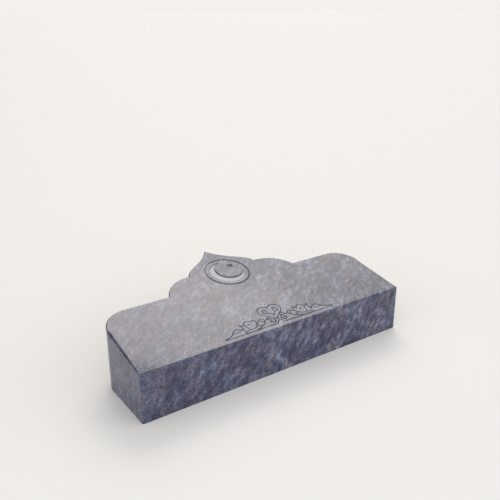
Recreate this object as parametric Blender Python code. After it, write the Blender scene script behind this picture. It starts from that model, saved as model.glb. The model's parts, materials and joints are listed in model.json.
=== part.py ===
"""A bevel grave marker: one block of polished blue-grey granite that lies on the ground.

The top slopes up from a low front edge to a pointed crest at the back. It is carved with a
ringed crescent and star below the crest, and with a pair of mirrored scrolls along the front.
Plan points are (x, back): x runs to the right and back runs away from the front face.
"""

import math

import bmesh
import bpy
from mathutils import Vector

# The block, in metres and degrees
LENGTH = 0.610
FRONT_HEIGHT = 0.0966
BEVEL_ANGLE = 10.93
BODY_DEPTH = 0.1752
SHOULDER_RADIUS = 0.0525
ARRIS = 0.0025
ARRIS_STEPS = 2
FRONT_CORNER_EASE = 0.0010

# The crest, whose rises are measured back from the straight rear edge of the body
CREST_RISE = 0.1219
CREST_WIDTH = 0.3092
NECK_WIDTH = 0.1636
NECK_RISE = 0.0466
LOBE_BULGE = 0.01435
OGEE_FOOT_ANGLE = 99.4
OGEE_FOOT_PULL = 0.0253
OGEE_TIP_ANGLE = 57.1
OGEE_TIP_PULL = 0.0535

# The medallion: a ring round a crescent and a five-pointed star. The horns grow shallower with
# their width, by the two horn shares. STAR_REACH is a share of the crescent's radius
MEDALLION_RISE = 0.0296
MEDALLION_OFFSET = 0.0007
RING_RADIUS = 0.0471
RING_WIDTH = 0.0042
RING_MARGIN = 0.00815
CRESCENT_THICKNESS = 0.0187
CRESCENT_DEPTH = 0.0024
CRESCENT_RIM_DEPTH = 0.0013
HORN_ANGLE = 41.2
HORN_DEPTH_SHARE = 0.40
HORN_RIM_SHARE = 0.45
HORN_TIP_STEP = 0.25
EMBLEM_TURN = 41.0
STAR_REACH = 0.68
STAR_RADIUS = 0.0100
STAR_DEPTH = 0.0022

# The scrolls, drawn on a grid of SCROLL_GRID squares from the middle to either end
SCROLL_LENGTH = 0.262
SCROLL_GRID = 131
SCROLL_BASE = 0.0118
BOLD_LINE = 0.0030
LINE = 0.0026
FINE_LINE = 0.0022
EYE_RADIUS = 0.0013
EYE_SIDES = 12
HEART_CURL = (11.5, 40.8)
VOLUTE = (13.5, 12.4)
VOLUTE_CURL = (13.8, 11.7)

# How the grooves are cut
GROOVE_HALF_ANGLE = 40.0
FREE_TAPER = 0.0050
MEETING_TAPER = 0.0012
WALL_SLANT = 18.0
CUTTER_CLEARANCE = 0.0015
RUN_OUT_LIFT = 0.000375
CARVING_SAG = 0.00006
OUTLINE_SAG = 0.00012
JOIN_GAP = 0.0004
SPLIT_GAP = 0.00001

# The stone's looks
STONE_COLOR = (0.105, 0.108, 0.150, 1.0)
STONE_ROUGHNESS = 0.12

TOTAL_DEPTH = BODY_DEPTH + CREST_RISE
SLOPE = math.tan(math.radians(BEVEL_ANGLE))
GRID = SCROLL_LENGTH / 2 / SCROLL_GRID
MEDALLION = (MEDALLION_OFFSET, BODY_DEPTH + MEDALLION_RISE)
CRESCENT_RADIUS = RING_RADIUS - RING_WIDTH / 2 - RING_MARGIN


def clear_scene():
    for obj in list(bpy.data.objects):
        bpy.data.objects.remove(obj, do_unlink=True)


def face_height(back):
    """Height of the sloping face at this distance behind the front."""
    return FRONT_HEIGHT + SLOPE * back


def place(x, back, lift):
    """A point over the plan, lift metres above the sloping face."""
    return Vector((x, back - TOTAL_DEPTH / 2, face_height(back) + lift))


def polar(centre, radius, degrees):
    angle = math.radians(degrees)
    return (centre[0] + radius * math.cos(angle), centre[1] + radius * math.sin(angle))


def spiral(centre, start_radius, end_radius, start, sweep, sag):
    """Points along a curl, close enough together that each chord lies within sag of it."""
    widest = max(start_radius, end_radius)
    step = 2 * math.degrees(math.acos(1 - min(sag / widest, 0.5)))
    count = max(2, math.ceil(abs(sweep) / step))
    points = []
    for i in range(count + 1):
        share = i / count
        radius = start_radius + (end_radius - start_radius) * share
        points.append(polar(centre, radius, start + sweep * share))
    return points


def arc(centre, radius, start, sweep, sag):
    return spiral(centre, radius, radius, start, sweep, sag)


def bezier(start, pull_start, pull_end, end, sag):
    """Points along a cubic curve, as many as its bend needs."""
    first = Vector(start) - 2 * Vector(pull_start) + Vector(pull_end)
    second = Vector(pull_start) - 2 * Vector(pull_end) + Vector(end)
    bend = max(first.length, second.length)
    count = max(1, math.ceil(math.sqrt(0.75 * bend / sag)))
    points = []
    for i in range(count + 1):
        t = i / count
        weights = ((1 - t) ** 3, 3 * t * (1 - t) ** 2, 3 * t * t * (1 - t), t ** 3)
        controls = (start, pull_start, pull_end, end)
        x = sum(weight * point[0] for weight, point in zip(weights, controls))
        back = sum(weight * point[1] for weight, point in zip(weights, controls))
        points.append((x, back))
    return points


def joined(*runs):
    """Runs of points made one run. Where one ends and the next starts, one point is kept."""
    points = list(runs[0])
    for run in runs[1:]:
        points.extend(run[1:] if math.dist(run[0], points[-1]) < JOIN_GAP else run)
    return points


def mirrored(points):
    return [(-x, back) for x, back in points]


def lobe():
    """The swelling between the rear edge and the neck of the crest."""
    outer = Vector((CREST_WIDTH / 2, BODY_DEPTH))
    inner = Vector((NECK_WIDTH / 2, BODY_DEPTH + NECK_RISE))
    chord = inner - outer
    radius = (chord.length ** 2 / 4 + LOBE_BULGE ** 2) / (2 * LOBE_BULGE)
    outward = Vector((chord.y, -chord.x)).normalized()
    centre = (outer + inner) / 2 - outward * (radius - LOBE_BULGE)
    start = math.degrees(math.atan2(outer.y - centre.y, outer.x - centre.x))
    end = math.degrees(math.atan2(inner.y - centre.y, inner.x - centre.x))
    return arc(centre, radius, start, end - start, OUTLINE_SAG)


def ogee():
    """The side of the crest, hollow at the neck and straightening to the point."""
    foot = (NECK_WIDTH / 2, BODY_DEPTH + NECK_RISE)
    tip = (0.0, TOTAL_DEPTH)
    pull_foot = polar(foot, OGEE_FOOT_PULL, OGEE_FOOT_ANGLE)
    pull_tip = polar(tip, OGEE_TIP_PULL, -OGEE_TIP_ANGLE)
    return bezier(foot, pull_foot, pull_tip, tip, OUTLINE_SAG)


def outline():
    """The plan of the block, counter-clockwise from the middle of the front."""
    half = LENGTH / 2
    corner_radius = ARRIS + FRONT_CORNER_EASE
    corner = (half - corner_radius, corner_radius)
    shoulder = (half - SHOULDER_RADIUS, BODY_DEPTH - SHOULDER_RADIUS)
    right = joined(
        arc(corner, corner_radius, -90, 90, OUTLINE_SAG),
        arc(shoulder, SHOULDER_RADIUS, 0, 90, OUTLINE_SAG),
        lobe(),
        ogee(),
    )
    return right + mirrored(right[:-1])[::-1]


def inset(points, distance):
    """The closed outline moved inwards, corner by corner."""
    moved = []
    for i, point in enumerate(points):
        here = Vector(point)
        before = (here - Vector(points[i - 1])).normalized()
        after = (Vector(points[(i + 1) % len(points)]) - here).normalized()
        inward_before = Vector((-before.y, before.x))
        inward_after = Vector((-after.y, after.x))
        middle = (inward_before + inward_after).normalized()
        moved.append(here + middle * distance / middle.dot(inward_before))
    return moved


def link(name, mesh):
    obj = bpy.data.objects.new(name, mesh)
    bpy.context.scene.collection.objects.link(obj)
    return obj


def make_block():
    """The uncarved block: walls up to a rounded arris, and the sloping face."""
    plan = outline()
    mesh = bmesh.new()
    loops = [[mesh.verts.new((x, back - TOTAL_DEPTH / 2, 0.0)) for x, back in plan]]
    for step in range(ARRIS_STEPS + 1):
        angle = math.pi / 2 * step / ARRIS_STEPS
        points = inset(plan, ARRIS * (1 - math.cos(angle)))
        drop = ARRIS * (1 - math.sin(angle))
        loops.append([mesh.verts.new(place(x, back, -drop)) for x, back in points])
    for lower, upper in zip(loops, loops[1:]):
        for i in range(len(plan)):
            j = (i + 1) % len(plan)
            mesh.faces.new((lower[i], lower[j], upper[j], upper[i]))
    mesh.faces.new(loops[-1])
    mesh.faces.new(loops[0][::-1])
    data = bpy.data.meshes.new("marker_stone")
    mesh.to_mesh(data)
    mesh.free()
    return link("marker_stone", data)


def add_cutter(cutters, name, rings, closed=False):
    """A closed cutter lofted through rings of points that all have the same count."""
    mesh = bmesh.new()
    loops = [[mesh.verts.new(point) for point in ring] for ring in rings]
    pairs = list(zip(loops, loops[1:]))
    if closed:
        pairs.append((loops[-1], loops[0]))
    for one, other in pairs:
        for i in range(len(one)):
            j = (i + 1) % len(one)
            mesh.faces.new((one[i], one[j], other[j], other[i]))
    if not closed:
        mesh.faces.new(loops[0])
        mesh.faces.new(loops[-1])
    bmesh.ops.recalc_face_normals(mesh, faces=mesh.faces)
    data = bpy.data.meshes.new(name)
    mesh.to_mesh(data)
    mesh.free()
    obj = bpy.data.objects.new(name, data)
    obj.hide_render = True
    obj.display_type = "WIRE"
    cutters.objects.link(obj)


def cross_directions(points, closed):
    """The direction across the path at each of its points."""
    across = []
    for i, point in enumerate(points):
        before = points[i - 1] if closed or i > 0 else point
        after = points[(i + 1) % len(points)] if closed or i + 1 < len(points) else point
        along = (Vector(after) - Vector(before)).normalized()
        across.append(Vector((-along.y, along.x)))
    return across


def extended(points, distance):
    """The path run on at its end, in the direction that it ends in."""
    last = Vector(points[-1])
    along = (last - Vector(points[-2])).normalized()
    return points + [tuple(last + along * distance)]


def split_for_taper(points, start_taper, end_taper):
    """The path with a point added where each taper ends, and the distance along it."""
    lengths = [0.0]
    for one, other in zip(points, points[1:]):
        lengths.append(lengths[-1] + math.dist(one, other))
    total = lengths[-1]
    wanted = [stop for stop in (start_taper, total - end_taper) if 0 < stop < total]
    wanted = [stop for stop in wanted if min(abs(stop - length) for length in lengths) > SPLIT_GAP]
    stops = sorted(lengths + wanted)
    split = []
    for stop in stops:
        i = max(k for k in range(len(points) - 1) if lengths[k] <= stop)
        share = (stop - lengths[i]) / (lengths[i + 1] - lengths[i])
        split.append(tuple(Vector(points[i]).lerp(Vector(points[i + 1]), share)))
    return split, stops


def groove_ring(point, across, depth):
    """A V section: its point depth below the face, its top clear of the face."""
    spread = (depth + CUTTER_CLEARANCE) * math.tan(math.radians(GROOVE_HALF_ANGLE))
    x, back = point
    return (
        place(x, back, -depth),
        place(x + across.x * spread, back + across.y * spread, CUTTER_CLEARANCE),
        place(x - across.x * spread, back - across.y * spread, CUTTER_CLEARANCE),
    )


def groove_depth(width):
    return width / 2 / math.tan(math.radians(GROOVE_HALF_ANGLE))


def add_stroke(cutters, name, points, width, start, end):
    """A V groove along a path. A free end runs out gently, and one that meets another groove
    keeps its depth up to the meeting point and stops inside that groove."""
    tapers = {"meets": MEETING_TAPER, "free": FREE_TAPER}
    path = points
    if end == "meets":
        path = extended(path, MEETING_TAPER)
    if start == "meets":
        path = extended(path[::-1], MEETING_TAPER)[::-1]
    path, stops = split_for_taper(path, tapers[start], tapers[end])
    full = groove_depth(width)
    rings = []
    for point, across, stop in zip(path, cross_directions(path, False), stops):
        share = min(1.0, stop / tapers[start], (stops[-1] - stop) / tapers[end])
        rings.append(groove_ring(point, across, full * share - RUN_OUT_LIFT * (1 - share)))
    add_cutter(cutters, name, rings)


def add_ring(cutters):
    points = arc(MEDALLION, RING_RADIUS, 0, 360, CARVING_SAG)[:-1]
    depth = groove_depth(RING_WIDTH)
    across = cross_directions(points, True)
    rings = [groove_ring(point, side, depth) for point, side in zip(points, across)]
    add_cutter(cutters, "ring_cutter", rings, closed=True)


def crescent_bite():
    """The circle that is left out of the crescent: its offset, its radius, and the turn of its
    crossings with the outer circle, measured at its own centre."""
    core = CRESCENT_RADIUS - CRESCENT_THICKNESS
    horn = Vector(polar((0.0, 0.0), CRESCENT_RADIUS, HORN_ANGLE))
    offset = (CRESCENT_RADIUS ** 2 - core ** 2) / (2 * (core + horn.x))
    turn = math.degrees(math.atan2(horn.y, horn.x - offset))
    return offset, core + offset, turn


def crescent_section(share):
    """A cut across the crescent, whose floor falls from the outer edge to the inner one."""
    offset, bite_radius, bite_turn = crescent_bite()
    bite_centre = polar(MEDALLION, offset, EMBLEM_TURN)
    outer_angle = EMBLEM_TURN + HORN_ANGLE + share * (360 - 2 * HORN_ANGLE)
    bite_angle = EMBLEM_TURN + bite_turn + share * (360 - 2 * bite_turn)
    outer = Vector(polar(MEDALLION, CRESCENT_RADIUS, outer_angle))
    inner = Vector(polar(bite_centre, bite_radius, bite_angle))
    width = (outer - inner).length
    across = (outer - inner).normalized()
    wall = math.tan(math.radians(WALL_SLANT))
    depth = min(CRESCENT_DEPTH, width * HORN_DEPTH_SHARE)
    rim_depth = min(CRESCENT_RIM_DEPTH, width * HORN_RIM_SHARE)
    inner_foot = inner + across * depth * wall
    outer_foot = outer - across * rim_depth * wall
    inner_top = inner - across * CUTTER_CLEARANCE * wall
    outer_top = outer + across * CUTTER_CLEARANCE * wall
    return (
        place(inner_top.x, inner_top.y, CUTTER_CLEARANCE),
        place(inner_foot.x, inner_foot.y, -depth),
        place(outer_foot.x, outer_foot.y, -rim_depth),
        place(outer_top.x, outer_top.y, CUTTER_CLEARANCE),
    )


def add_crescent(cutters):
    turn = 360 - 2 * HORN_ANGLE
    step = 2 * math.degrees(math.acos(1 - CARVING_SAG / CRESCENT_RADIUS))
    count = math.ceil(turn / step)
    first = HORN_TIP_STEP / count
    shares = [first + (1 - 2 * first) * i / count for i in range(count + 1)]
    add_cutter(cutters, "crescent_cutter", [crescent_section(share) for share in shares])


def star_points(radius, centre):
    """The ten corners of a five-pointed star, one point of it turned outwards."""
    hollow = radius * math.sin(math.radians(18)) / math.sin(math.radians(54))
    corners = []
    for i in range(10):
        reach = radius if i % 2 == 0 else hollow
        corners.append(polar(centre, reach, EMBLEM_TURN + 36 * i))
    return corners


def add_star(cutters):
    """A star sunk into the face, with slanting walls and a flat floor."""
    centre = polar(MEDALLION, CRESCENT_RADIUS * STAR_REACH, EMBLEM_TURN)
    slant = math.tan(math.radians(WALL_SLANT)) / math.sin(math.radians(18))
    rings = []
    for lift in (-STAR_DEPTH, CUTTER_CLEARANCE):
        corners = star_points(STAR_RADIUS + lift * slant, centre)
        rings.append([place(x, back, lift) for x, back in corners])
    add_cutter(cutters, "star_cutter", rings)


def on_grid(x, back):
    """A point of the scroll drawing, from squares to metres."""
    return (x * GRID, SCROLL_BASE + back * GRID)


def curl(centre, start_radius, end_radius, start, sweep):
    middle = on_grid(*centre)
    return spiral(middle, start_radius * GRID, end_radius * GRID, start, sweep, CARVING_SAG)


def sweep_line(start, pull_start, pull_end, end):
    points = (on_grid(*point) for point in (start, pull_start, pull_end, end))
    return bezier(*points, CARVING_SAG)


def heart_strokes():
    """One half of the heart in the middle: its outer side, and the curl inside it."""
    side = joined(
        curl((12.2, 42.3), 13.4, 13.4, 152, -192),
        sweep_line((22.5, 33.7), (18.0, 28.3), (7.5, 23.0), (-0.6, 14.6)),
    )
    inner = joined(
        sweep_line((-0.8, 25.2), (3.5, 27.6), (5.0, 34.9), (8.9, 34.6)),
        curl(HEART_CURL, 6.7, 3.1, -113, 400),
    )
    return [
        ("heart_side", side, BOLD_LINE, "meets", "meets"),
        ("heart_curl", inner, LINE, "meets", "free"),
    ]


def volute_strokes():
    """The big curl beside the foot of the heart, and the bud at the end of its band."""
    foot = curl(VOLUTE, 12.0, 12.0, 270, -108)
    brow = curl(VOLUTE, 12.4, 12.4, 116, -82)
    inner = joined(
        sweep_line((25.2, 18.6), (21.8, 20.0), (18.0, 19.3), (13.8, 19.0)),
        curl(VOLUTE_CURL, 7.3, 2.8, 90, 400),
    )
    bud = joined(
        sweep_line((47.0, 17.6), (43.0, 18.9), (39.5, 24.9), (32.8, 24.6)),
        curl((32.8, 19.7), 4.9, 2.5, 90, 350),
    )
    return [
        ("volute_foot", foot, LINE, "meets", "free"),
        ("volute_brow", brow, LINE, "meets", "meets"),
        ("volute_curl", inner, FINE_LINE, "meets", "free"),
        ("bud", bud, FINE_LINE, "meets", "free"),
    ]


def leaf_strokes():
    """The stem that runs back to the base line, with the small leaf that lies on it."""
    stem = sweep_line((29.6, 15.2), (34.0, 7.6), (43.0, 5.6), (54.5, 0.2))
    leaf = sweep_line((48.2, 15.0), (47.2, 11.4), (44.6, 8.2), (40.4, 6.6))
    return [
        ("leaf_stem", stem, LINE, "meets", "meets"),
        ("leaf_edge", leaf, FINE_LINE, "meets", "meets"),
    ]


def shell_strokes():
    """The open shell with a lip on its left, and the pointed leaf that springs from it."""
    lip_foot = (47.6, 16.4)
    lip_tip = (48.4, 30.0)
    notch = (54.6, 23.4)
    fork = (72.6, 22.8)
    point_tip = (82.6, 27.8)
    heel = (67.2, 6.9)
    ankle = (77.9, 4.6)
    rib = (80.6, 14.1)
    strokes = (
        ("shell_lip", LINE, (lip_foot, (45.4, 21.5), (46.0, 25.5), lip_tip)),
        ("shell_notch", BOLD_LINE, (lip_tip, (51.6, 28.9), (54.0, 27.4), notch)),
        ("shell_top", LINE, (notch, (56.4, 33.0), (68.4, 35.4), fork)),
        ("shell_side", FINE_LINE, (fork, (69.0, 18.6), (71.6, 12.4), heel)),
        ("shell_base", BOLD_LINE, (lip_foot, (51.0, 9.6), (58.4, 5.0), heel)),
        ("point_top", BOLD_LINE, (fork, (75.4, 21.9), (79.0, 24.0), point_tip)),
        ("point_side", LINE, (point_tip, (79.4, 22.8), (79.0, 18.4), rib)),
        ("point_foot", LINE, (heel, (71.2, 7.8), (76.6, 5.8), (83.6, 0.2))),
        ("point_spur", FINE_LINE, (ankle, (80.8, 6.4), (81.6, 9.6), rib)),
    )
    found = [(name, sweep_line(*points), width, "meets", "meets") for name, width, points in strokes]
    inner = sweep_line((60.4, 15.8), (59.8, 22.6), (65.4, 24.4), (66.6, 19.2))
    return found + [("shell_curl", inner, FINE_LINE, "free", "free")]


def end_leaf_strokes():
    """The long leaf that runs out along the base line, and the rib inside it."""
    edge = joined(
        sweep_line((84.2, 12.7), (88.4, 18.8), (97.6, 21.4), (103.2, 13.6)),
        sweep_line((103.2, 13.6), (107.6, 7.6), (114.0, 3.6), (SCROLL_GRID, 0.6)),
    )
    rib = sweep_line((74.4, 16.6), (82.0, 14.0), (92.0, 8.6), (105.0, 10.4))
    return [
        ("end_leaf_edge", edge, BOLD_LINE, "meets", "free"),
        ("end_leaf_rib", rib, LINE, "free", "meets"),
    ]


def base_strokes():
    line = sweep_line((11.5, 0), (50.0, 0), (90.0, 0), (SCROLL_GRID, 0))
    return [("base_line", line, BOLD_LINE, "meets", "free")]


def add_scrolls(cutters):
    """Both halves of the scroll, each stroke cut on the right and again on the left."""
    parts = (base_strokes, heart_strokes, volute_strokes, leaf_strokes, shell_strokes, end_leaf_strokes)
    for part in parts:
        for name, points, width, start, end in part():
            add_stroke(cutters, name + "_right", points, width, start, end)
            add_stroke(cutters, name + "_left", mirrored(points), width, start, end)


def eye_rings(centre):
    """The floor and the top of a pit that narrows a little as it goes down."""
    slant = math.tan(math.radians(WALL_SLANT))
    for lift in (-EYE_RADIUS, CUTTER_CLEARANCE):
        radius = EYE_RADIUS + lift * slant
        circle = [polar(centre, radius, 360 * i / EYE_SIDES) for i in range(EYE_SIDES)]
        yield [place(x, back, lift) for x, back in circle]


def add_eyes(cutters):
    """The round pits in the middle of the curls."""
    for name, (x, back) in (("heart_eye", HEART_CURL), ("volute_eye", VOLUTE_CURL)):
        for side, sign in (("right", 1), ("left", -1)):
            add_cutter(cutters, f"{name}_{side}", list(eye_rings(on_grid(sign * x, back))))


def granite():
    """Polished blue-grey granite."""
    material = bpy.data.materials.new("granite")
    material.use_nodes = True
    shader = material.node_tree.nodes["Principled BSDF"]
    shader.inputs["Base Color"].default_value = STONE_COLOR
    shader.inputs["Roughness"].default_value = STONE_ROUGHNESS
    shader.inputs["Metallic"].default_value = 0.0
    return material


def main():
    clear_scene()
    stone = make_block()
    stone.data.materials.append(granite())
    cutters = bpy.data.collections.new("carving_cutters")
    bpy.context.scene.collection.children.link(cutters)
    add_ring(cutters)
    add_crescent(cutters)
    add_star(cutters)
    add_scrolls(cutters)
    add_eyes(cutters)
    carving = stone.modifiers.new("carving", "BOOLEAN")
    carving.operation = "DIFFERENCE"
    carving.operand_type = "COLLECTION"
    carving.collection = cutters
    carving.solver = "EXACT"


main()
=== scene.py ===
# %% [markdown]
# # A bevel grave marker in polished granite
# The real object is one block of blue-grey granite that lies on the ground. Its top slopes up
# from a low front edge to a pointed crest, and it is carved with a ringed crescent and star and
# with a pair of mirrored scrolls. The solid model has the same block and the same carving, with
# coarse facets and one flat colour. This script makes the block again with fine edges, carves it
# with smooth grooves and frosted leaves, and gives it stone that has a grain.

import json
import math

import bmesh
import bpy
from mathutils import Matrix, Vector

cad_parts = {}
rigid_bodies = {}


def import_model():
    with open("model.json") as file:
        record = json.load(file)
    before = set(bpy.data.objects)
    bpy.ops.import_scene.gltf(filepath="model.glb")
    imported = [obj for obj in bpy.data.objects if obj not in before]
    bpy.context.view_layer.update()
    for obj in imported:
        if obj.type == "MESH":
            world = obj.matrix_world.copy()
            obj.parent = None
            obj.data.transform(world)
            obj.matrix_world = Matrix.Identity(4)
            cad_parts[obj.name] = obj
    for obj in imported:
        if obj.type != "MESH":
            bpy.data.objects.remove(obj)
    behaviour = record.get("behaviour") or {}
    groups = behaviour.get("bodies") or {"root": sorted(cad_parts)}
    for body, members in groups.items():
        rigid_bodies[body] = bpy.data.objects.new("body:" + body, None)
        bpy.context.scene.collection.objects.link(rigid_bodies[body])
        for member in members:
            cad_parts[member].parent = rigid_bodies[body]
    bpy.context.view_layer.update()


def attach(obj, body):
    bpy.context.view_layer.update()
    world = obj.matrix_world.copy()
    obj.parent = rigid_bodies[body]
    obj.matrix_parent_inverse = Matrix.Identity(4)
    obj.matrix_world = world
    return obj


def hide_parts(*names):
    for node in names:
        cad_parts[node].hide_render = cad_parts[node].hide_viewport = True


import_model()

# %% [markdown]
# ## Sizes
# A carver works from a drawing with a few measures on it, in metres and degrees. The block and
# the places of the carving are the same as in the solid model, so that the new block fits the
# old one. The finer things differ: a broader rounding on the sides, thinner scroll lines, and a
# ring whose groove varies. Plan points are (x, back): x runs to the right and back runs away
# from the front face.

# %% Sizes of the block and its crest
LENGTH = 0.610
FRONT_HEIGHT = 0.0966
BEVEL_ANGLE = 10.93
BODY_DEPTH = 0.1752
SHOULDER_RADIUS = 0.0525
ARRIS = 0.0025
SIDE_ARRIS = 0.0050
FRONT_CORNER_EASE = 0.0010
CREST_RISE = 0.1219
CREST_WIDTH = 0.3092
NECK_WIDTH = 0.1636
NECK_RISE = 0.0466
LOBE_BULGE = 0.01435
OGEE_FOOT_ANGLE = 99.4
OGEE_FOOT_PULL = 0.0253
OGEE_TIP_ANGLE = 57.1
OGEE_TIP_PULL = 0.0535
TOTAL_DEPTH = BODY_DEPTH + CREST_RISE
SLOPE = math.tan(math.radians(BEVEL_ANGLE))
print("depth", round(TOTAL_DEPTH, 4), "rise per metre", round(SLOPE, 4))

# %% Sizes of the carving
MEDALLION = (0.0007, BODY_DEPTH + 0.0296)
RING_RADIUS = 0.0471
RING_WIDTH = 0.0040
CRESCENT_RADIUS = 0.03685
CRESCENT_THICKNESS = 0.0187
CRESCENT_DEPTH = 0.0024
CRESCENT_RIM_DEPTH = 0.0013
HORN_ANGLE = 41.2
HORN_DEPTH_SHARE = 0.40
HORN_RIM_SHARE = 0.45
VIEW_TURN = -35.0
RING_SIDE_THINNING = 0.32
RING_LEFT_THINNING = 0.28
EMBLEM_TURN = 41.0
STAR_REACH = 0.68
STAR_RADIUS = 0.0100
STAR_DEPTH = 0.0022
SCROLL_LENGTH = 0.262
SCROLL_GRID = 131
SCROLL_BASE = 0.0118
GRID = SCROLL_LENGTH / 2 / SCROLL_GRID
BOLD_LINE = 0.0024
LINE = 0.0022
CURL_LINE = 0.0028
EYE_RADIUS = 0.0013
HEART_CURL = (11.5, 40.8)
VOLUTE = (13.5, 12.4)
VOLUTE_CURL = (13.8, 11.7)
FIELD_DEPTH = 0.00025
GROOVE_HALF_ANGLE = 40.0
GROOVE_FLOOR_SHARE = 0.16
FREE_TAPER = 0.0050
MEETING_TAPER = 0.0012
WALL_SLANT = 18.0
CLEARANCE = 0.0008
TIP_SHARE = 0.08
CARVING_SAG = 0.00003
OUTLINE_SAG = 0.00005
ARRIS_STEPS = 6
JOIN_GAP = 0.0004
SPLIT_GAP = 0.00001
SIDE_GAP = 0.000001
print("one square of the scroll drawing is", round(GRID * 1000, 3), "mm")

# %% [markdown]
# ## Drawing in plan
# Everything on this stone is drawn flat and then laid on the slope, as a mason lays a paper
# pattern on the block. Arcs, spirals and cubic curves are enough for it. Each gets just the
# number of points that its bend needs, so that straight runs stay light and curls stay smooth.

# %% Points on curves
def face_height(back):
    return FRONT_HEIGHT + SLOPE * back


def place(x, back, lift):
    """A point over the plan, lift metres above the sloping face."""
    return Vector((x, back - TOTAL_DEPTH / 2, face_height(back) + lift))


def polar(centre, radius, degrees):
    angle = math.radians(degrees)
    return (centre[0] + radius * math.cos(angle), centre[1] + radius * math.sin(angle))


def spiral(centre, start_radius, end_radius, start, sweep, sag):
    """Points along a curl, close enough together that each chord lies within sag of it."""
    widest = max(start_radius, end_radius)
    step = 2 * math.degrees(math.acos(1 - min(sag / widest, 0.5)))
    count = max(2, math.ceil(abs(sweep) / step))
    radii = [start_radius + (end_radius - start_radius) * i / count for i in range(count + 1)]
    return [polar(centre, radius, start + sweep * i / count) for i, radius in enumerate(radii)]


def arc(centre, radius, start, sweep, sag):
    return spiral(centre, radius, radius, start, sweep, sag)


def bezier(start, pull_start, pull_end, end, sag):
    """Points along a cubic curve, as many as its bend needs."""
    first = Vector(start) - 2 * Vector(pull_start) + Vector(pull_end)
    second = Vector(pull_start) - 2 * Vector(pull_end) + Vector(end)
    count = max(1, math.ceil(math.sqrt(0.75 * max(first.length, second.length) / sag)))
    controls = [Vector(point) for point in (start, pull_start, pull_end, end)]
    points = []
    for i in range(count + 1):
        t = i / count
        weights = ((1 - t) ** 3, 3 * t * (1 - t) ** 2, 3 * t * t * (1 - t), t ** 3)
        point = sum((control * weight for control, weight in zip(controls, weights)), Vector((0, 0)))
        points.append((point.x, point.y))
    return points


def joined(*runs):
    """Runs of points made one run. Where one ends and the next starts, one point is kept."""
    points = list(runs[0])
    for run in runs[1:]:
        points.extend(run[1:] if math.dist(run[0], points[-1]) < JOIN_GAP else run)
    return points


def mirrored(points):
    return [(-x, back) for x, back in points]


print("a full turn of 10 mm radius takes", len(arc((0, 0), 0.010, 0, 360, CARVING_SAG)) - 1, "chords")

# %% [markdown]
# ## The outline
# The plan has a straight front with crisp corners, round shoulders, a swelling on each side of
# the crest, and an S-shaped curve up to its point. Only the right half is drawn, and the left
# half is its mirror image.

# %% The plan of the block
def lobe():
    """The swelling between the rear edge and the neck of the crest."""
    outer = Vector((CREST_WIDTH / 2, BODY_DEPTH))
    inner = Vector((NECK_WIDTH / 2, BODY_DEPTH + NECK_RISE))
    chord = inner - outer
    radius = (chord.length ** 2 / 4 + LOBE_BULGE ** 2) / (2 * LOBE_BULGE)
    outward = Vector((chord.y, -chord.x)).normalized()
    centre = (outer + inner) / 2 - outward * (radius - LOBE_BULGE)
    start = math.degrees(math.atan2(outer.y - centre.y, outer.x - centre.x))
    end = math.degrees(math.atan2(inner.y - centre.y, inner.x - centre.x))
    return arc(centre, radius, start, end - start, OUTLINE_SAG)


def ogee():
    """The side of the crest, hollow at the neck and straightening to the point."""
    foot = (NECK_WIDTH / 2, BODY_DEPTH + NECK_RISE)
    tip = (0.0, TOTAL_DEPTH)
    pull_foot = polar(foot, OGEE_FOOT_PULL, OGEE_FOOT_ANGLE)
    pull_tip = polar(tip, OGEE_TIP_PULL, -OGEE_TIP_ANGLE)
    return bezier(foot, pull_foot, pull_tip, tip, OUTLINE_SAG)


def outline():
    """The plan of the block, counter-clockwise from the right front corner."""
    half = LENGTH / 2
    corner_radius = ARRIS + FRONT_CORNER_EASE
    corner = (half - corner_radius, corner_radius)
    shoulder = (half - SHOULDER_RADIUS, BODY_DEPTH - SHOULDER_RADIUS)
    right = joined(
        arc(corner, corner_radius, -90, 90, OUTLINE_SAG),
        arc(shoulder, SHOULDER_RADIUS, 0, 90, OUTLINE_SAG),
        lobe(),
        ogee(),
    )
    return right + mirrored(right[:-1])[::-1]


def inset(points, distances):
    """The closed outline moved inwards, corner by corner, each by its own distance."""
    moved = []
    for i, (point, distance) in enumerate(zip(points, distances)):
        here = Vector(point)
        before = (here - Vector(points[i - 1])).normalized()
        after = (Vector(points[(i + 1) % len(points)]) - here).normalized()
        inward_before = Vector((-before.y, before.x))
        inward_after = Vector((-after.y, after.x))
        middle = (inward_before + inward_after).normalized()
        moved.append(here + middle * distance / middle.dot(inward_before))
    return moved


def arris_at(point):
    """How much of the upper edge is rounded away here: most at the back of the straight sides."""
    x, back = point
    at_side = abs(abs(x) - LENGTH / 2) < SIDE_GAP
    return SIDE_ARRIS if at_side and back > ARRIS + 2 * FRONT_CORNER_EASE else ARRIS


plan = outline()
arrises = [arris_at(point) for point in plan]
print("the outline has", len(plan), "points, its arris is", min(arrises), "to", max(arrises))

# %% [markdown]
# ## Nodes by formula
# Stone patterns and swept grooves are both networks of nodes. Wiring them one socket at a time
# is hard to read, so a small class wraps a socket, and +, -, * and / on it add Math nodes. One
# method makes every other kind of node: it sets the node first, then fills or links its sockets.

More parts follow.
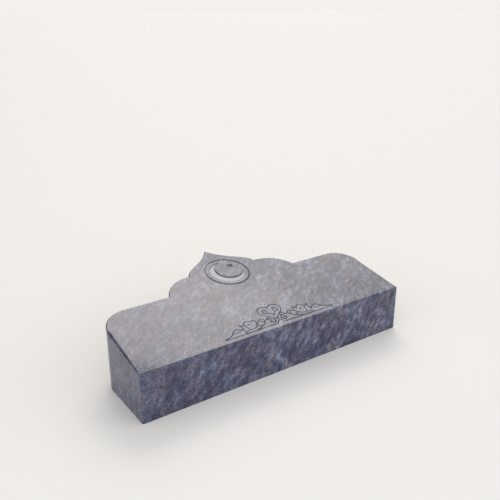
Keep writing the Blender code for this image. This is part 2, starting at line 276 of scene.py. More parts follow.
# %% A socket that can be used in sums
class Value:
    def __init__(self, graph, socket):
        self.graph = graph
        self.socket = socket

    def math(self, operation, *terms):
        inputs = dict(enumerate(terms))
        return self.graph.node("ShaderNodeMath", {"operation": operation}, inputs)["Value"]

    def __add__(self, other):
        return self.math("ADD", self, other)

    def __sub__(self, other):
        return self.math("SUBTRACT", self, other)

    def __rsub__(self, other):
        return self.math("SUBTRACT", other, self)

    def __mul__(self, other):
        return self.math("MULTIPLY", self, other)

    def __truediv__(self, other):
        return self.math("DIVIDE", self, other)

    def __rtruediv__(self, other):
        return self.math("DIVIDE", other, self)

    def __neg__(self):
        return 0 - self

    def tan(self):
        return self.math("TANGENT", self)

    __radd__ = __add__
    __rmul__ = __mul__


# %% A tree that makes its nodes with one method
class Graph:
    def __init__(self, tree):
        self.tree = tree

    def node(self, kind, settings=None, inputs=None):
        """A node of this kind, set, then filled or linked. Returns its outputs by name."""
        made = self.tree.nodes.new(kind)
        for name, setting in (settings or {}).items():
            if name == "stops":
                self.set_stops(made.color_ramp, setting)
            else:
                setattr(made, name, setting)
        for key, value in (inputs or {}).items():
            shown = [socket for socket in made.inputs if socket.enabled]
            socket = shown[key] if isinstance(key, int) else next(s for s in shown if s.name == key)
            if isinstance(value, Value):
                self.tree.links.new(value.socket, socket)
            else:
                socket.default_value = value
        return {socket.name: Value(self, socket) for socket in made.outputs if socket.enabled}

    def set_stops(self, ramp, stops):
        while len(ramp.elements) < len(stops):
            ramp.elements.new(1.0)
        for element, (position, colour) in zip(ramp.elements, stops):
            element.position = position
            element.color = (*colour, 1.0)

    def vector(self, operation, *terms):
        """A Vector Math node."""
        outputs = self.node("ShaderNodeVectorMath", {"operation": operation}, dict(enumerate(terms)))
        return next(iter(outputs.values()))

    def mix(self, factor, one, other, way="MIX"):
        """A colour between two colours, or one multiplied by the other."""
        inputs = {"Factor": factor, "A": one, "B": other}
        return self.node("ShaderNodeMix", {"data_type": "RGBA", "blend_type": way}, inputs)["Result"]

    def between(self, value, low, high, to_low=0.0, to_high=1.0):
        """The value's smooth way from low to high, spread over another range."""
        inputs = {"Value": value, "From Min": low, "From Max": high, "To Min": to_low, "To Max": to_high}
        return self.node("ShaderNodeMapRange", {"interpolation_type": "SMOOTHSTEP"}, inputs)["Result"]


print("helpers for nodes are ready")

# %% [markdown]
# ## The grain of the granite
# This granite has dark blue, slate and pale grey crystals, drawn out into streaks that all lie
# along one plane through the block. Its hue drifts between blue and mauve in broad patches. The
# pattern is flattened across that plane, so the streaks run at about sixty degrees on the
# front and diagonally over the top, as on one real piece of stone. They grow bolder towards
# the right. A picture wrapped round the block would break at every edge, and a pattern in
# Object coordinates doesn't.

# %% Colours of the crystals
FOLIATION = Vector((-0.609, 0.609, 0.35)).normalized()
STONE_TONES = (
    (0.00, (0.013, 0.016, 0.050)),
    (0.30, (0.034, 0.036, 0.078)),
    (0.50, (0.078, 0.081, 0.140)),
    (0.70, (0.158, 0.164, 0.242)),
    (1.00, (0.330, 0.340, 0.430)),
)
BLUE_TINT = (0.965, 1.050, 1.035, 1.0)
MAUVE_TINT = (1.055, 0.950, 0.895, 1.0)
TEAL = (0.045, 0.150, 0.190, 1.0)
FROST = (0.40, 0.405, 0.46, 1.0)
PALE_FROST = (0.47, 0.465, 0.53, 1.0)
# Painted shade: a dark veil over the grooves and pits that stands in for their shadow.
GROOVE_PAINTED_SHADE = (0.022, 0.023, 0.031, 1.0)
CLOUD_SIZE = 0.052
STREAK_SIZE = 0.0200
GRAIN_SIZE = 0.0028
DRIFT_SIZE = 0.044
GRIT_SIZE = 0.0009
print("streaks lie across", [round(v, 3) for v in FOLIATION])

# %% How strong each part of the pattern is
CLOUD_FLATTENING = 1.8
STREAK_FLATTENING = 2.4
GRAIN_FLATTENING = 1.9
DRIFT_FLATTENING = 2.6
DRIFT_START = (0.31, 0.17, 0.53)
CLOUD_SHARE = 0.60
STREAK_SHARE = 1.20
GRAIN_SHARE = 0.31
MEAN_TONE = 0.430
BOLDNESS_ENDS = (-0.30, 0.10)
BOLDNESS_RANGE = (0.72, 1.24)
DRIFT_RANGE = (0.38, 0.62)
FLECK_RANGE = (0.90, 0.96)
FLECK_SHARE = 0.14
print("streaks are", BOLDNESS_RANGE, "times as bold at the left and right")


# %% The pattern shared by every finish of the stone
def stretched(graph, point, factor):
    """The point with its distance across the foliation multiplied, which flattens a pattern."""
    across = graph.vector("DOT_PRODUCT", point, FOLIATION)
    inputs = {0: FOLIATION, "Scale": across * (factor - 1)}
    along = graph.node("ShaderNodeVectorMath", {"operation": "SCALE"}, inputs)
    return graph.vector("ADD", point, along["Vector"])


def noise(graph, point, size, detail, roughness=0.5):
    inputs = {"Vector": point, "Scale": 1 / size, "Detail": detail, "Roughness": roughness}
    outputs = graph.node("ShaderNodeTexNoise", {"noise_dimensions": "3D"}, inputs)
    return next(iter(outputs.values()))


def stone_pattern(graph):
    """The colour of the stone, and a random value for each crystal."""
    point = graph.node("ShaderNodeTexCoord")["Object"]
    cloud = noise(graph, stretched(graph, point, CLOUD_FLATTENING), CLOUD_SIZE, 2.0)
    streak = noise(graph, stretched(graph, point, STREAK_FLATTENING), STREAK_SIZE, 5.0, 0.56)
    inputs = {"Vector": stretched(graph, point, GRAIN_FLATTENING), "Scale": 1 / GRAIN_SIZE}
    cells = graph.node("ShaderNodeTexVoronoi", {}, inputs)
    crystal = graph.node("ShaderNodeSeparateColor", {}, {0: cells["Color"]})
    along = graph.node("ShaderNodeSeparateXYZ", {}, {0: point})["X"]
    boldness = graph.between(along, *BOLDNESS_ENDS, *BOLDNESS_RANGE)
    veins = ((cloud - 0.5) * CLOUD_SHARE + (streak - 0.5) * STREAK_SHARE) * boldness
    tone = veins + (crystal["Red"] - 0.5) * GRAIN_SHARE + MEAN_TONE
    ramp = graph.node("ShaderNodeValToRGB", {"stops": STONE_TONES}, {0: tone})["Color"]
    shifted = graph.vector("ADD", point, DRIFT_START)
    drift = noise(graph, stretched(graph, shifted, DRIFT_FLATTENING), DRIFT_SIZE, 2.0)
    tint = graph.mix(graph.between(drift, *DRIFT_RANGE), BLUE_TINT, MAUVE_TINT)
    tinted = graph.mix(1.0, ramp, tint, "MULTIPLY")
    fleck = graph.between(crystal["Green"], *FLECK_RANGE, 0.0, FLECK_SHARE)
    colour = graph.mix(fleck, tinted, TEAL)
    return colour, crystal["Blue"]


# %% [markdown]
# ## Six finishes of one stone
# Polishing darkens granite and makes it a mirror. Sand blasted grooves are duller, and a little
# painted shade darkens them. Tight curls, the ring and the walls of the crescent and star get a
# heavier painted shade, which stands in for the shadow in these deeper cuts. A frosted leaf is
# pale, because its broken crystals scatter the light, and the floor of the crescent is the
# palest. The underside is left as the saw cut it. All six show the same streaks, so they share
# one pattern and differ in the veil of colour that lies over it, in roughness and in bump.

# %% Make one finish
VEIL_RANGE = (0.85, 1.15)
CRYSTAL_BUMP = 0.5


def granite_finish(name, veil, share, roughness, spread, bump_height):
    """Stone with a share of a veil over its colour, and a roughness that varies by crystal."""
    material = bpy.data.materials.new(name)
    material.use_nodes = True
    graph = Graph(material.node_tree)
    shader = material.node_tree.nodes["Principled BSDF"]
    colour, crystal = stone_pattern(graph)
    if share:
        least, most = (share * bound for bound in VEIL_RANGE)
        colour = graph.mix(graph.between(crystal, 0.0, 1.0, least, most), colour, veil)
    material.node_tree.links.new(colour.socket, shader.inputs["Base Color"])
    rough = crystal * spread + (roughness - spread / 2)
    material.node_tree.links.new(rough.socket, shader.inputs["Roughness"])
    if bump_height:
        grit = noise(graph, graph.node("ShaderNodeTexCoord")["Object"], GRIT_SIZE, 2.0)
        inputs = {"Height": grit + crystal * CRYSTAL_BUMP, "Distance": bump_height, "Strength": 1.0}
        bump = graph.node("ShaderNodeBump", {}, inputs)["Normal"]
        material.node_tree.links.new(bump.socket, shader.inputs["Normal"])
    print(name, "has", len(material.node_tree.nodes), "nodes")
    return material


POLISHED = granite_finish("granite_polished", FROST, 0.0, 0.07, 0.04, 0.0)
# The blasted lines carry a light coat of painted shade. The next finish carries a heavy coat, for the curls,
# the ring and the walls of the crescent and star.
BLASTED_PAINTED_SHADE = granite_finish("granite_blasted_painted_shade", GROOVE_PAINTED_SHADE, 0.12, 0.46, 0.12, 0.00012)
PAINTED_DEEP_SHADE = granite_finish("granite_painted_deep_shade", GROOVE_PAINTED_SHADE, 0.48, 0.46, 0.12, 0.00012)
FROSTED = granite_finish("granite_frosted", FROST, 0.58, 0.44, 0.10, 0.00010)
CRESCENT_FROST = granite_finish("granite_crescent", PALE_FROST, 0.96, 0.40, 0.10, 0.00010)
SAWN = granite_finish("granite_sawn", FROST, 0.22, 0.62, 0.16, 0.00020)

# %% [markdown]
# ## The uncarved block
# The block is the outline raised to the slope, with its upper edge rounded by hand with a
# diamond pad. It could be a cube cut by planes, but a stack of loops follows the outline
# exactly and gives the edge its round shape in the same step: each loop is the outline moved a
# little inwards and a little higher. The straight sides have a broader rounding, which widens
# towards the shoulders and stops short where they begin.

# %% Raise the block
FLOOR_NORMAL = 0.85


def closed_object(name, rings, closed, finish, floor_finish=None):
    """A closed mesh lofted through rings of points that all have the same count. Faces that lie
    nearly flat may have a finish of their own."""
    mesh = bmesh.new()
    loops = [[mesh.verts.new(point) for point in ring] for ring in rings]
    pairs = list(zip(loops, loops[1:])) + ([(loops[-1], loops[0])] if closed else [])
    for one, other in pairs:
        for i in range(len(one)):
            j = (i + 1) % len(one)
            mesh.faces.new((one[i], one[j], other[j], other[i]))
    if not closed:
        mesh.faces.new(loops[0])
        mesh.faces.new(loops[-1])
    bmesh.ops.recalc_face_normals(mesh, faces=mesh.faces)
    data = bpy.data.meshes.new(name)
    mesh.to_mesh(data)
    mesh.free()
    data.materials.append(finish)
    if floor_finish:
        data.materials.append(floor_finish)
        for face in data.polygons:
            face.material_index = 1 if abs(face.normal.z) > FLOOR_NORMAL else 0
    return bpy.data.objects.new(name, data)


def block_rings():
    yield [(x, back - TOTAL_DEPTH / 2, 0.0) for x, back in plan]
    for step in range(ARRIS_STEPS + 1):
        angle = math.pi / 2 * step / ARRIS_STEPS
        loop = inset(plan, [arris * (1 - math.cos(angle)) for arris in arrises])
        drops = [arris * (1 - math.sin(angle)) for arris in arrises]
        yield [place(x, back, -drop) for (x, back), drop in zip(loop, drops)]


marker = closed_object("carved_granite_marker", list(block_rings()), False, POLISHED)
bpy.context.scene.collection.objects.link(marker)
marker.data.materials.append(SAWN)
for face in marker.data.polygons:
    face.material_index = 1 if face.normal.z < -FLOOR_NORMAL else 0
print("the block has", len(marker.data.polygons), "faces")

# %% [markdown]
# ## A groove that follows a path
# The carving is made of grooves with sloping walls, and each follows a drawn line. That is a
# section swept along a path, which Geometry Nodes does well: the tree below takes a flat path,
# sweeps the section along it, and lays the result on the slope. The section shrinks with the
# radius of the path's points, so a free end of a groove fades out as a chisel cut does.

# %% Build the tree
def groove_tree():
    tree = bpy.data.node_groups.new("groove_along_path", "GeometryNodeTree")
    tree.interface.new_socket("Path", in_out="INPUT", socket_type="NodeSocketGeometry")
    sizes = {"Width": LINE, "Half Angle": GROOVE_HALF_ANGLE, "Floor Share": GROOVE_FLOOR_SHARE,
             "Clearance": CLEARANCE, "Front Height": FRONT_HEIGHT, "Slope": SLOPE, "Depth": TOTAL_DEPTH}
    for name, size in sizes.items():
        socket = tree.interface.new_socket(name, in_out="INPUT", socket_type="NodeSocketFloat")
        socket.default_value = size
    tree.interface.new_socket("Finish", in_out="INPUT", socket_type="NodeSocketMaterial")
    tree.interface.new_socket("Cutter", in_out="OUTPUT", socket_type="NodeSocketGeometry")
    graph = Graph(tree)
    given = graph.node("NodeGroupInput")
    widening = (given["Half Angle"] * (math.pi / 180)).tan()
    floor = given["Width"] * given["Floor Share"] / 2
    deep = (given["Width"] / 2 - floor) / widening
    top = given["Width"] / 2 + given["Clearance"] * widening
    corners = ((top, -given["Clearance"]), (-top, -given["Clearance"]), (-floor, deep), (floor, deep))
    points = {}
    for i, (across, down) in enumerate(corners, 1):
        points[f"Point {i}"] = graph.node("ShaderNodeCombineXYZ", {}, {"X": across, "Y": down})["Vector"]
    section = graph.node("GeometryNodeCurvePrimitiveQuadrilateral", {"mode": "POINTS"}, points)["Curve"]
    shrink = graph.node("GeometryNodeInputRadius")["Radius"]
    swept = graph.node("GeometryNodeCurveToMesh", {}, {"Curve": given["Path"], "Profile Curve": section,
                                                       "Scale": shrink, "Fill Caps": True})["Mesh"]
    position = graph.node("GeometryNodeInputPosition")["Position"]
    where = graph.node("ShaderNodeSeparateXYZ", {}, {0: position})
    lift = given["Front Height"] + given["Slope"] * (where["Y"] + given["Depth"] / 2)
    rise = graph.node("ShaderNodeCombineXYZ", {}, {"Z": lift})["Vector"]
    laid = graph.node("GeometryNodeSetPosition", {}, {"Geometry": swept, "Offset": rise})["Geometry"]
    real = graph.node("GeometryNodeRealizeInstances", {}, {"Geometry": laid})["Geometry"]
    inputs = {"Geometry": real, "Material": given["Finish"]}
    finished = graph.node("GeometryNodeSetMaterial", {}, inputs)["Geometry"]
    graph.node("NodeGroupOutput", {}, {"Cutter": finished})
    return tree


GROOVE = groove_tree()
print("the groove tree has", len(GROOVE.nodes), "nodes")

# %% Prepare a path with tapering ends
def extended(points, distance):
    """The path run on at its end, in the direction that it ends in."""
    last = Vector(points[-1])
    along = (last - Vector(points[-2])).normalized()
    return points + [tuple(last + along * distance)]


def split_for_taper(points, start_taper, end_taper):
    """The path with a point added where each taper ends, and the distance along it."""
    lengths = [0.0]
    for one, other in zip(points, points[1:]):
        lengths.append(lengths[-1] + math.dist(one, other))
    wanted = [stop for stop in (start_taper, lengths[-1] - end_taper) if 0 < stop < lengths[-1]]
    wanted = [stop for stop in wanted if min(abs(stop - length) for length in lengths) > SPLIT_GAP]
    stops = sorted(lengths + wanted)
    split = []
    for stop in stops:
        i = max(k for k in range(len(points) - 1) if lengths[k] <= stop)
        share = (stop - lengths[i]) / (lengths[i + 1] - lengths[i])
        split.append(tuple(Vector(points[i]).lerp(Vector(points[i + 1]), share)))
    return split, stops


def tapered(points, start, end):
    """The path, and how deep the groove is at each point as a share of its full depth."""
    tapers = {"meets": MEETING_TAPER, "free": FREE_TAPER}
    if end == "meets":
        points = extended(points, MEETING_TAPER)
    if start == "meets":
        points = extended(points[::-1], MEETING_TAPER)[::-1]
    points, stops = split_for_taper(points, tapers[start], tapers[end])
    shares = []
    for stop in stops:
        share = min(1.0, stop / tapers[start], (stops[-1] - stop) / tapers[end])
        shares.append(TIP_SHARE + (1 - TIP_SHARE) * share)
    return points, shares


# %% Turn a path into a cutter's path
def path_object(name, points, shares, width, finish, cyclic=False):
    """A flat curve with the groove tree on it."""
    curve = bpy.data.curves.new(name, "CURVE")
    curve.dimensions = "3D"
    curve.twist_mode = "Z_UP"
    spline = curve.splines.new("POLY")
    spline.points.add(len(points) - 1)
    spline.use_cyclic_u = cyclic
    for point, (x, back), share in zip(spline.points, points, shares):
        point.co = (x, back - TOTAL_DEPTH / 2, 0.0, 1.0)
        point.radius = share
    obj = bpy.data.objects.new(name, curve)
    bpy.context.scene.collection.objects.link(obj)
    groove = obj.modifiers.new("groove", "NODES")
    groove.node_group = GROOVE
    ids = {item.name: item.identifier for item in GROOVE.interface.items_tree if item.in_out == "INPUT"}
    groove[ids["Width"]] = width
    groove[ids["Finish"]] = finish
    return obj


# %% [markdown]
# ## The scrolls
# The ornament grows from the middle of the front edge: a heart of two curls, a volute beside
# its foot, a bud, a leaf on a stem, an open shell, a pointed leaf and a long leaf that runs out
# along a base line. It is drawn on squared paper, as an old pattern book would show it. Each
# line says whether its ends meet another line or run out freely.

# %% Drawing helpers
def on_grid(x, back):
    """A point of the scroll drawing, from squares to metres."""
    return (x * GRID, SCROLL_BASE + back * GRID)


def curl(centre, start_radius, end_radius, start, sweep):
    middle = on_grid(*centre)
    return spiral(middle, start_radius * GRID, end_radius * GRID, start, sweep, CARVING_SAG)


def sweep_line(*controls):
    return bezier(*(on_grid(*point) for point in controls), CARVING_SAG)


# %% Heart, volute, bud and small leaf
HEART_SIDE = joined(
    curl((12.2, 42.3), 13.4, 13.4, 152, -192),
    sweep_line((22.5, 33.7), (18.0, 28.3), (7.5, 23.0), (-0.6, 14.6)),
)
HEART_INNER = joined(
    sweep_line((-0.8, 25.2), (3.5, 27.6), (5.0, 34.9), (8.9, 34.6)),
    curl(HEART_CURL, 6.7, 3.1, -113, 400),
)
VOLUTE_INNER = joined(
    sweep_line((25.2, 18.6), (21.8, 20.0), (18.0, 19.3), (13.8, 19.0)),
    curl(VOLUTE_CURL, 7.3, 2.8, 90, 400),
)
BUD = joined(
    sweep_line((47.0, 17.6), (43.0, 18.9), (39.5, 24.9), (32.8, 24.6)),
    curl((32.8, 19.7), 4.9, 2.5, 90, 350),
)
strokes = [
    ("base_line", sweep_line((11.5, 0), (50.0, 0), (90.0, 0), (SCROLL_GRID, 0)), BOLD_LINE, "meets", "free"),
    ("heart_side", HEART_SIDE, BOLD_LINE, "meets", "meets"),
    ("heart_curl", HEART_INNER, CURL_LINE, "meets", "free"),
    ("volute_foot", curl(VOLUTE, 12.0, 12.0, 270, -108), LINE, "meets", "free"),
    ("volute_brow", curl(VOLUTE, 12.4, 12.4, 116, -82), LINE, "meets", "meets"),
    ("volute_curl", VOLUTE_INNER, CURL_LINE, "meets", "free"),
    ("bud", BUD, LINE, "meets", "free"),
    ("leaf_stem", sweep_line((29.6, 15.2), (34.0, 7.6), (43.0, 5.6), (54.5, 0.2)), LINE, "meets", "meets"),
    ("leaf_edge", sweep_line((48.2, 15.0), (47.2, 11.4), (44.6, 8.2), (40.4, 6.6)), LINE, "meets", "meets"),
]
print("strokes so far:", len(strokes))

# %% Shell, pointed leaf and long leaf
LIP_FOOT = (47.6, 16.4)
LIP_TIP = (48.4, 30.0)
NOTCH = (54.6, 23.4)
FORK = (72.6, 22.8)
POINT_TIP = (82.6, 27.8)
HEEL = (67.2, 6.9)
ANKLE = (77.9, 4.6)
RIB = (80.6, 14.1)
LEAF_ROOT = (84.2, 12.7)
LEAF_BEND = (103.2, 13.6)
drawn = {
    "shell_lip": (LINE, (LIP_FOOT, (45.4, 21.5), (46.0, 25.5), LIP_TIP)),
    "shell_notch": (BOLD_LINE, (LIP_TIP, (51.6, 28.9), (54.0, 27.4), NOTCH)),
    "shell_top": (LINE, (NOTCH, (56.4, 33.0), (68.4, 35.4), FORK)),
    "shell_side": (LINE, (FORK, (69.0, 18.6), (71.6, 12.4), HEEL)),
    "shell_base": (BOLD_LINE, (LIP_FOOT, (51.0, 9.6), (58.4, 5.0), HEEL)),
    "point_top": (BOLD_LINE, (FORK, (75.4, 21.9), (79.0, 24.0), POINT_TIP)),
    "point_side": (LINE, (POINT_TIP, (79.4, 22.8), (79.0, 18.4), RIB)),
    "point_foot": (LINE, (HEEL, (71.2, 7.8), (76.6, 5.8), (83.6, 0.2))),
    "point_spur": (LINE, (ANKLE, (80.8, 6.4), (81.6, 9.6), RIB)),
}
lines = {name: sweep_line(*controls) for name, (width, controls) in drawn.items()}
strokes += [(name, lines[name], width, "meets", "meets") for name, (width, controls) in drawn.items()]
LEAF_EDGE = joined(
    sweep_line(LEAF_ROOT, (88.4, 18.8), (97.6, 21.4), LEAF_BEND),
    sweep_line(LEAF_BEND, (107.6, 7.6), (114.0, 3.6), (SCROLL_GRID, 0.6)),
)
LEAF_RIB = sweep_line((74.4, 16.6), (82.0, 14.0), (92.0, 8.6), (105.0, 10.4))
SHELL_CURL = sweep_line((60.4, 15.8), (59.8, 22.6), (65.4, 24.4), (66.6, 19.2))
strokes += [
    ("shell_curl", SHELL_CURL, CURL_LINE, "free", "free"),
    ("end_leaf_edge", LEAF_EDGE, BOLD_LINE, "meets", "free"),
    ("end_leaf_rib", LEAF_RIB, LINE, "free", "meets"),
]
print("strokes on one side:", len(strokes))

# %% How deep the ring is cut, by direction
def ring_share(point):
    """The ring's groove is fullest in front and behind, thinner at its sides, thinnest on its left."""
    x, back = point
    angle = math.atan2(back - MEDALLION[1], x - MEDALLION[0]) - math.radians(VIEW_TURN)
    left = max(0.0, -math.cos(angle)) ** 4
    return 1.0 - RING_SIDE_THINNING * math.cos(angle) ** 2 - RING_LEFT_THINNING * left


print("the ring's groove is", round(ring_share((-1.0, 0.85)), 2), "of its full size on the left")

# %% Sweep every stroke on both sides, and the ring
paths = []
for name, points, width, start, end in strokes:
    # Tight curls get the heavier painted shade, and the other lines get the lighter one.
    finish = PAINTED_DEEP_SHADE if width == CURL_LINE else BLASTED_PAINTED_SHADE
    for side, run in (("right", points), ("left", mirrored(points))):
        paths.append(path_object(f"{name}_{side}", *tapered(run, start, end), width, finish))
ring = arc(MEDALLION, RING_RADIUS, 0, 360, CARVING_SAG)[:-1]
depths = [ring_share(point) for point in ring]
# The ring's groove gets the heavier painted shade.
paths.append(path_object("ring", ring, depths, RING_WIDTH, PAINTED_DEEP_SHADE, cyclic=True))
view_layer_graph = bpy.context.evaluated_depsgraph_get()
cutters = bpy.data.collections.new("carving_cutters")
bpy.context.scene.collection.children.link(cutters)


def add_cutter(obj):
    obj.hide_render = True
    obj.display_type = "WIRE"
    cutters.objects.link(obj)


for path in paths:
    data = bpy.data.meshes.new_from_object(path.evaluated_get(view_layer_graph))
    mesh = bmesh.new()
    mesh.from_mesh(data)
    bmesh.ops.recalc_face_normals(mesh, faces=mesh.faces)
    mesh.to_mesh(data)
    mesh.free()
    add_cutter(bpy.data.objects.new(path.name + "_cutter", data))
for path in paths:
    bpy.data.objects.remove(path, do_unlink=True)
low = min(vertex.co.z - face_height(vertex.co.y + TOTAL_DEPTH / 2)
          for obj in cutters.objects for vertex in obj.data.vertices)
print(len(cutters.objects), "grooves, the deepest", round(-low * 1000, 2), "mm")

# %% [markdown]
# ## Pockets: crescent, star, eyes and frosted leaves
# Some shapes are sunk as areas. The crescent's floor falls from its outer edge to its inner
# one, which throws a shadow along the inside. The star and the eyes of the curls are small pits
# with slanting walls. The leaves are only frosted: they are lowered by less than a millimetre,
# and their edges lie in the middle of the grooves round them, where no step can be seen.

# %% The crescent
def crescent_section(share):
    """A cut across the crescent, with its floor falling towards the inner edge."""
    core = CRESCENT_RADIUS - CRESCENT_THICKNESS
    horn = Vector(polar((0.0, 0.0), CRESCENT_RADIUS, HORN_ANGLE))
    offset = (CRESCENT_RADIUS ** 2 - core ** 2) / (2 * (core + horn.x))
    bite_turn = math.degrees(math.atan2(horn.y, horn.x - offset))
    bite_centre = polar(MEDALLION, offset, EMBLEM_TURN)
    outer_angle = EMBLEM_TURN + HORN_ANGLE + share * (360 - 2 * HORN_ANGLE)
    bite_angle = EMBLEM_TURN + bite_turn + share * (360 - 2 * bite_turn)
    outer = Vector(polar(MEDALLION, CRESCENT_RADIUS, outer_angle))
    inner = Vector(polar(bite_centre, core + offset, bite_angle))
    width = (outer - inner).length
    across = (outer - inner).normalized()
    wall = math.tan(math.radians(WALL_SLANT))
    depth = min(CRESCENT_DEPTH, width * HORN_DEPTH_SHARE)
    rim_depth = min(CRESCENT_RIM_DEPTH, width * HORN_RIM_SHARE)
    feet = (
        (inner - across * CLEARANCE * wall, CLEARANCE),
        (inner + across * depth * wall, -depth),
        (outer - across * rim_depth * wall, -rim_depth),
        (outer + across * CLEARANCE * wall, CLEARANCE),
    )
    return [place(foot.x, foot.y, lift) for foot, lift in feet]


crescent_step = 2 * math.degrees(math.acos(1 - CARVING_SAG / CRESCENT_RADIUS))
crescent_count = math.ceil((360 - 2 * HORN_ANGLE) / crescent_step)
shares = [(i + 0.25) / (crescent_count + 0.5) for i in range(crescent_count + 1)]
sections = [crescent_section(share) for share in shares]
# The crescent's walls get the heavier painted shade, and its floor gets the pale frost.
add_cutter(closed_object("crescent", sections, False, PAINTED_DEEP_SHADE, CRESCENT_FROST))
print("the crescent has", len(shares), "sections")


# %% The star and the eyes of the curls
STAR_POINT_ANGLE = math.radians(18)
STAR_HOLLOW_ANGLE = math.radians(54)
STAR_STEP = 36
EYE_CORNERS = 24


def star_ring(lift):
    """The ten corners of the star at this height, one point of it turned outwards."""
    centre = polar(MEDALLION, CRESCENT_RADIUS * STAR_REACH, EMBLEM_TURN)
    radius = STAR_RADIUS + lift * math.tan(math.radians(WALL_SLANT)) / math.sin(STAR_POINT_ANGLE)
    hollow = radius * math.sin(STAR_POINT_ANGLE) / math.sin(STAR_HOLLOW_ANGLE)
    reaches = [radius if i % 2 == 0 else hollow for i in range(10)]
    corners = [polar(centre, reach, EMBLEM_TURN + STAR_STEP * i) for i, reach in enumerate(reaches)]
    return [place(x, back, lift) for x, back in corners]


def eye_ring(centre, lift):
    radius = EYE_RADIUS + lift * math.tan(math.radians(WALL_SLANT))
    turns = [360 * i / EYE_CORNERS for i in range(EYE_CORNERS)]
    return [place(*polar(centre, radius, turn), lift) for turn in turns]


rings = [star_ring(-STAR_DEPTH), star_ring(CLEARANCE)]
# The star's walls get the heavier painted shade, and its floor gets the frost.
add_cutter(closed_object("star", rings, False, PAINTED_DEEP_SHADE, FROSTED))
# The eyes' pits get the light painted shade of the blasted lines.
for name, (x, back) in (("heart_eye", HEART_CURL), ("volute_eye", VOLUTE_CURL)):
    for side, sign in (("right", 1), ("left", -1)):
        centre = on_grid(sign * x, back)
        rings = [eye_ring(centre, -EYE_RADIUS), eye_ring(centre, CLEARANCE)]
        add_cutter(closed_object(f"{name}_{side}", rings, False, BLASTED_PAINTED_SHADE))

# %% The frosted leaves
foot_to_ankle = [p for p in lines["point_foot"] if p[0] < on_grid(*ANKLE)[0]]
ankle_to_line = [p for p in lines["point_foot"] if p[0] > on_grid(*ANKLE)[0]]
fields = {
    "shell": [lines["shell_lip"], lines["shell_notch"], lines["shell_top"], lines["shell_side"],
              lines["shell_base"][::-1]],
    "pointed_leaf": [lines["point_top"], lines["point_side"], lines["point_spur"][::-1],
                     foot_to_ankle[::-1], lines["shell_side"][::-1]],
    "long_leaf": [LEAF_EDGE, [on_grid(SCROLL_GRID, 0), on_grid(83.6, 0)], ankle_to_line[::-1],
                  lines["point_spur"]],
}
for name, runs in fields.items():
    loop = joined(*runs)
    loop = loop[:-1] if math.dist(loop[0], loop[-1]) < JOIN_GAP else loop
    for side, points in (("right", loop), ("left", mirrored(loop))):
        rings = [[place(x, back, lift) for x, back in points] for lift in (-FIELD_DEPTH, CLEARANCE)]
        add_cutter(closed_object(f"{name}_field_{side}", rings, False, FROSTED))
half_heart = [point for point in HEART_SIDE if point[0] > 0]
heart = half_heart + mirrored(half_heart)[::-1]
rings = [[place(x, back, lift) for x, back in heart] for lift in (-FIELD_DEPTH, CLEARANCE)]
add_cutter(closed_object("heart_field", rings, False, FROSTED))

# %% [markdown]
# ## Carve
# One Boolean takes all the cutters out of the block at once. Each cut face keeps the finish of
# the cutter that made it, so the carving comes out blasted or frosted, with painted shade in its grooves and
# pits.
# Afterwards the faces are shaded smooth up to a sharp angle, and the corner normals are weighted
# by area, which keeps the wide polished planes flat right up to their rounded edges.

# %% Cut, then shade
SHARP_ANGLE = 24
AREA_WEIGHT = 90
carving = marker.modifiers.new("carving", "BOOLEAN")
carving.operation = "DIFFERENCE"
carving.operand_type = "COLLECTION"
carving.collection = cutters
carving.solver = "EXACT"
carving.material_mode = "TRANSFER"
carved = bpy.data.meshes.new_from_object(marker.evaluated_get(bpy.context.evaluated_depsgraph_get()))
marker.modifiers.remove(carving)
marker.data = carved
for cutter in list(cutters.objects):
    bpy.data.objects.remove(cutter, do_unlink=True)
bpy.data.collections.remove(cutters)
carved.shade_smooth()
carved.set_sharp_from_angle(angle=math.radians(SHARP_ANGLE))
flattening = marker.modifiers.new("flat planes", "WEIGHTED_NORMAL")
flattening.keep_sharp = True
flattening.weight = AREA_WEIGHT
triangles = sum(len(face.vertices) - 2 for face in carved.polygons)
used = {carved.materials[face.material_index].name for face in carved.polygons}
print("carved:", triangles, "triangles, finishes", sorted(used))

# %% Check that the carved mesh is closed
mesh = bmesh.new()
mesh.from_mesh(carved)
open_edges = [edge for edge in mesh.edges if len(edge.link_faces) != 2]
print("open edges:", len(open_edges), "volume", round(mesh.calc_volume() * 1e6), "cm3")
mesh.free()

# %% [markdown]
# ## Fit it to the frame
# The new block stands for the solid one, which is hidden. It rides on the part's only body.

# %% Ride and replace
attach(marker, "root")
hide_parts("marker_stone")

# %% [markdown]
# ## Light, floor and camera
# A polished slope is a mirror, so it looks like what it faces. Its pale, warm sheen on the left
# and in the middle is a wide lamp behind it, which fades to the right, where the streaks show
# through, and ends sharply near the front left corner. The front faces a plainer part of the
# room and keeps its own dark blue. The room is one soft world of light, with that lamp, a broad
# fill from the front, a weaker one from the left and a dim corner in it. Near the horizon it
# takes the colour of the floor, so that the floor's end doesn't show from this camera. From a
# low camera at the side it is a faint line.

# %% The room's directions
TO_DEGREES = 180 / math.pi
scene = bpy.context.scene
scene.view_settings.view_transform = "Standard"
world = bpy.data.worlds.new("studio")
world.use_nodes = True
scene.world = world
room = Graph(world.node_tree)
background = world.node_tree.nodes["Background"]
direction = room.node("ShaderNodeTexCoord")["Generated"]
axes = room.node("ShaderNodeSeparateXYZ", {}, {0: direction})
turn = axes["X"].math("ARCTAN2", axes["X"], axes["Y"]) * TO_DEGREES
height = axes["Z"].math("ARCSINE", axes["Z"]) * TO_DEGREES
print("nodes that give a direction's turn and height:", len(world.node_tree.nodes))

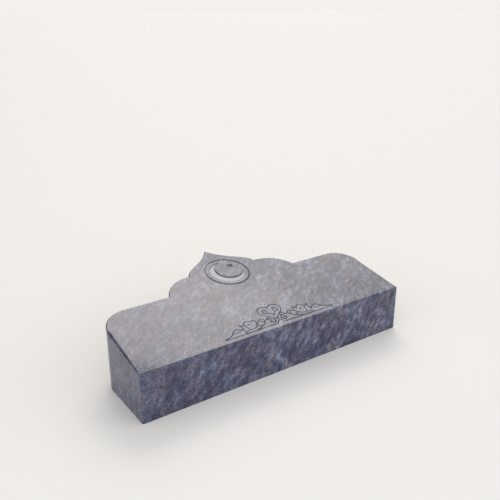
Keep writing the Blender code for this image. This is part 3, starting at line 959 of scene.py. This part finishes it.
# %% Bounds of the lights in degrees, and shares of the lamp's level
LAMP_LEFT = (5, 20)
LAMP_RIGHT = (80, 42)
LAMP_FOOT = (24, 34)
LAMP_TOP = (60, 52)
LAMP_EDGE = (50.3, 49.7)
ABOVE_EDGE_SHARE = 0.40
LAMP_LOWER_PART = (39.5, 43)
LOWER_SHARE = 0.66
DIM_LEFT = (-75, -50)
DIM_RIGHT = (14, 4)
DIM_FOOT = (1, 6)
DIM_TOP = (46, 38)
FILL_TOP = (55, 20)
SIDE_TOP = (60, 20)
HORIZON = (8, 1)
print("the lamp is brightest from", LAMP_LEFT[1], "to", LAMP_RIGHT[1], "degrees right of the back")

# %% The lamp, the fills and the far floor
FILL_SPREAD = (0.1, -0.8)
SIDE_SPREAD = (-0.3, -0.9)
WORLD_LEVEL = 0.72
FILL_LEVEL = 0.82
SIDE_LEVEL = 0.55
LAMP_LEVEL = 4.10
DIM_SHARE = 0.85
LAMP_COLOUR = (1.0, 0.94, 0.86)
FAR_FLOOR = (0.900, 0.880, 0.844)
lamp = room.between(turn, *LAMP_LEFT) * room.between(turn, *LAMP_RIGHT) * room.between(height, *LAMP_FOOT)
lamp = lamp * room.between(height, *LAMP_TOP) * room.between(height, *LAMP_EDGE, ABOVE_EDGE_SHARE, 1.0)
lamp = lamp * room.between(height, *LAMP_LOWER_PART, LOWER_SHARE, 1.0)
dim = room.between(turn, *DIM_LEFT) * room.between(turn, *DIM_RIGHT) * room.between(height, *DIM_FOOT)
dim = dim * room.between(height, *DIM_TOP)
fill = room.between(axes["Y"], *FILL_SPREAD) * room.between(height, *FILL_TOP)
side = room.between(axes["X"], *SIDE_SPREAD) * room.between(height, *SIDE_TOP)
plain = (fill * FILL_LEVEL + side * SIDE_LEVEL + WORLD_LEVEL) * (1 - dim * DIM_SHARE)
far = room.between(height, *HORIZON)
channels = {}
for i, (lamp_part, floor_part) in enumerate(zip(LAMP_COLOUR, FAR_FLOOR)):
    channels[i] = (lamp * (LAMP_LEVEL * lamp_part) + plain) * (1 - far) + far * floor_part
glow = room.node("ShaderNodeCombineColor", {}, channels)
world.node_tree.links.new(glow["Color"].socket, background.inputs["Color"])
print("the room has", len(world.node_tree.nodes), "nodes")

# %% The floor
floor_mesh = bpy.data.meshes.new("floor")
FLOOR_HALF = 100.0
FLOOR_DROP = 0.0003
FLOOR_COLOUR = (0.87, 0.855, 0.83, 1.0)
FLOOR_ROUGHNESS = 0.7
signs = ((-1, -1), (1, -1), (1, 1), (-1, 1))
corners = [(x * FLOOR_HALF, y * FLOOR_HALF, -FLOOR_DROP) for x, y in signs]
floor_mesh.from_pydata(corners, [], [(0, 1, 2, 3)])
floor = bpy.data.objects.new("floor", floor_mesh)
scene.collection.objects.link(floor)
paper = bpy.data.materials.new("floor_paper")
paper.use_nodes = True
paper_shader = paper.node_tree.nodes["Principled BSDF"]
paper_shader.inputs["Base Color"].default_value = FLOOR_COLOUR
paper_shader.inputs["Roughness"].default_value = FLOOR_ROUGHNESS
floor_mesh.materials.append(paper)
print("floor", 2 * FLOOR_HALF, "m wide")

# %% The camera
CAMERA_LENS = 45.52
CAMERA_PLACE = (-0.6698, -0.98485, 0.6608)
CAMERA_DIP = 21.024
CAMERA_TURN = 35.039
camera = bpy.data.objects.new("camera", bpy.data.cameras.new("camera"))
camera.data.lens = CAMERA_LENS
camera.data.sensor_width = 36.0
camera.location = CAMERA_PLACE
camera.rotation_euler = (math.radians(90 - CAMERA_DIP), 0.0, math.radians(-CAMERA_TURN))
scene.collection.objects.link(camera)
scene.camera = camera
print("camera", tuple(round(v, 3) for v in camera.location))
